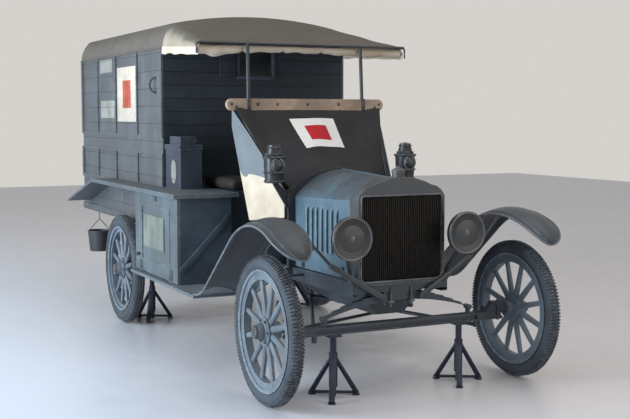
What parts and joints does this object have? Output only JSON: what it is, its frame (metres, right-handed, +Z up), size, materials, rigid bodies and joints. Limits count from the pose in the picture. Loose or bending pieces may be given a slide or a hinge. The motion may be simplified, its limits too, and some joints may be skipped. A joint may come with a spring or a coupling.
{
  "type": "military ambulance truck",
  "caption": "Light wooden-bodied ambulance truck on a car chassis with spoked wheels, canvas canopy, side lockers and axle stands.",
  "frame": {"origin": "on the floor under the middle of the vehicle's length and width", "axes": "+Z up, the front faces -Y, the vehicle's right side faces -X"},
  "size_m": [1.72, 4.436, 2.136],
  "materials": {
    "body_paint": "worn matt blue-grey paint",
    "wood_paint": "painted boards, blue-grey, matt",
    "dark_paint": "black paint, half matt",
    "wheel_paint": "painted wood, blue-grey",
    "tyre": "worn rubber",
    "canvas": "cream canvas",
    "dark_canvas": "waterproofed dark canvas",
    "leather": "black leather cloth",
    "core": "black-painted brass fins",
    "iron": "painted iron",
    "bar_wood": "bare weathered wood",
    "lens": "dull lamp glass",
    "panel": "white paint",
    "red_mark": "red paint"
  },
  "bodies": {
    "chassis": {"frame": "dark_paint", "engine": "iron", "radiator_shell": "dark_paint", "radiator_core": "core", "hood": "body_paint", "firewall": "wood_paint", "front_axle": "iron", "springs": "iron", "rear_axle": "iron", "steering_column": "dark_paint", "fenders": "body_paint", "running_boards": "body_paint", "lockers": "wood_paint", "shelves": "wood_paint", "body_floor": "wood_paint", "body_sides": "wood_paint", "roof": "canvas", "front_wall": "wood_paint", "rear_frame": "wood_paint", "rear_curtain": "canvas", "canopy": "canvas", "canopy_frame": "dark_paint", "apron": "dark_canvas", "cab_floor": "wood_paint", "seat_cushion": "leather", "lamps": "dark_paint", "chest": "wood_paint", "pail": "iron", "axle_stands": "iron"},
    "knuckle_right": {"knuckle_right": "iron"},
    "knuckle_left": {"knuckle_left": "iron"},
    "tie_rod": {"tie_rod": "iron"},
    "steering_arm": {"steering_arm": "iron"},
    "steering_wheel": {"steering_wheel": "wood_paint"},
    "locker_door_right": {"locker_door_right": "wood_paint"},
    "locker_door_left": {"locker_door_left": "wood_paint"},
    "tailboard": {"tailboard": "wood_paint"},
    "wheel_front_right": {"wheel_front_right": "wheel_paint", "tyre_front_right": "tyre"},
    "wheel_front_left": {"wheel_front_left": "wheel_paint", "tyre_front_left": "tyre"},
    "wheel_rear_right": {"wheel_rear_right": "wheel_paint", "tyre_rear_right": "tyre"},
    "wheel_rear_left": {"wheel_rear_left": "wheel_paint", "tyre_rear_left": "tyre"}
  },
  "joints": [
    {"name": "steer_right", "type": "hinge", "parent": "chassis", "child": "knuckle_right", "pos_m": [-0.65, -1.837, 0.386], "axis": [0, 0, 1], "range_deg": [-32, 32]},
    {"name": "steer_left", "type": "hinge", "parent": "chassis", "child": "knuckle_left", "pos_m": [0.65, -1.837, 0.386], "axis": [0, 0, 1], "range_deg": [-32, 32]},
    {"name": "tie_rod_pivot", "type": "hinge", "parent": "knuckle_right", "child": "tie_rod", "pos_m": [-0.65, -1.687, 0.345], "axis": [0, 0, 1], "range_deg": [-32, 32]},
    {"name": "steering_arm_swing", "type": "hinge", "parent": "chassis", "child": "steering_arm", "pos_m": [0.33, -1.507, 0.485], "axis": [0, 0.7453, 0.6667], "range_deg": [-42, 42]},
    {"name": "steering_wheel_turn", "type": "hinge", "parent": "chassis", "child": "steering_wheel", "pos_m": [0.33, -0.607, 1.29], "axis": [0, 0.7453, 0.6667], "range_deg": [-167, 167]},
    {"name": "wheel_front_right_spin", "type": "hinge", "parent": "knuckle_right", "child": "wheel_front_right", "pos_m": [-0.762, -1.837, 0.386], "axis": [1, 0, 0], "continuous": true},
    {"name": "wheel_front_left_spin", "type": "hinge", "parent": "knuckle_left", "child": "wheel_front_left", "pos_m": [0.762, -1.837, 0.386], "axis": [1, 0, 0], "continuous": true},
    {"name": "wheel_rear_right_spin", "type": "hinge", "parent": "chassis", "child": "wheel_rear_right", "pos_m": [-0.762, 0.703, 0.386], "axis": [1, 0, 0], "continuous": true},
    {"name": "wheel_rear_left_spin", "type": "hinge", "parent": "chassis", "child": "wheel_rear_left", "pos_m": [0.762, 0.703, 0.386], "axis": [1, 0, 0], "continuous": true},
    {"name": "locker_door_right_drop", "type": "hinge", "parent": "chassis", "child": "locker_door_right", "pos_m": [-0.82, -0.1985, 0.456], "axis": [0, -1, 0], "range_deg": [0, 90]},
    {"name": "locker_door_left_drop", "type": "hinge", "parent": "chassis", "child": "locker_door_left", "pos_m": [0.82, -0.1985, 0.456], "axis": [0, 1, 0], "range_deg": [0, 90]},
    {"name": "tailboard_drop", "type": "hinge", "parent": "chassis", "child": "tailboard", "pos_m": [0, 2.193, 0.733], "axis": [-1, 0, 0], "range_deg": [0, 170]}
  ],
  "couplings": [
    {"joint": "steer_left", "follows": "steer_right", "ratio": 1},
    {"joint": "tie_rod_pivot", "follows": "steer_right", "ratio": -1},
    {"joint": "steering_arm_swing", "follows": "steer_right", "ratio": 1.3},
    {"joint": "steering_wheel_turn", "follows": "steer_right", "ratio": 5.2}
  ]
}
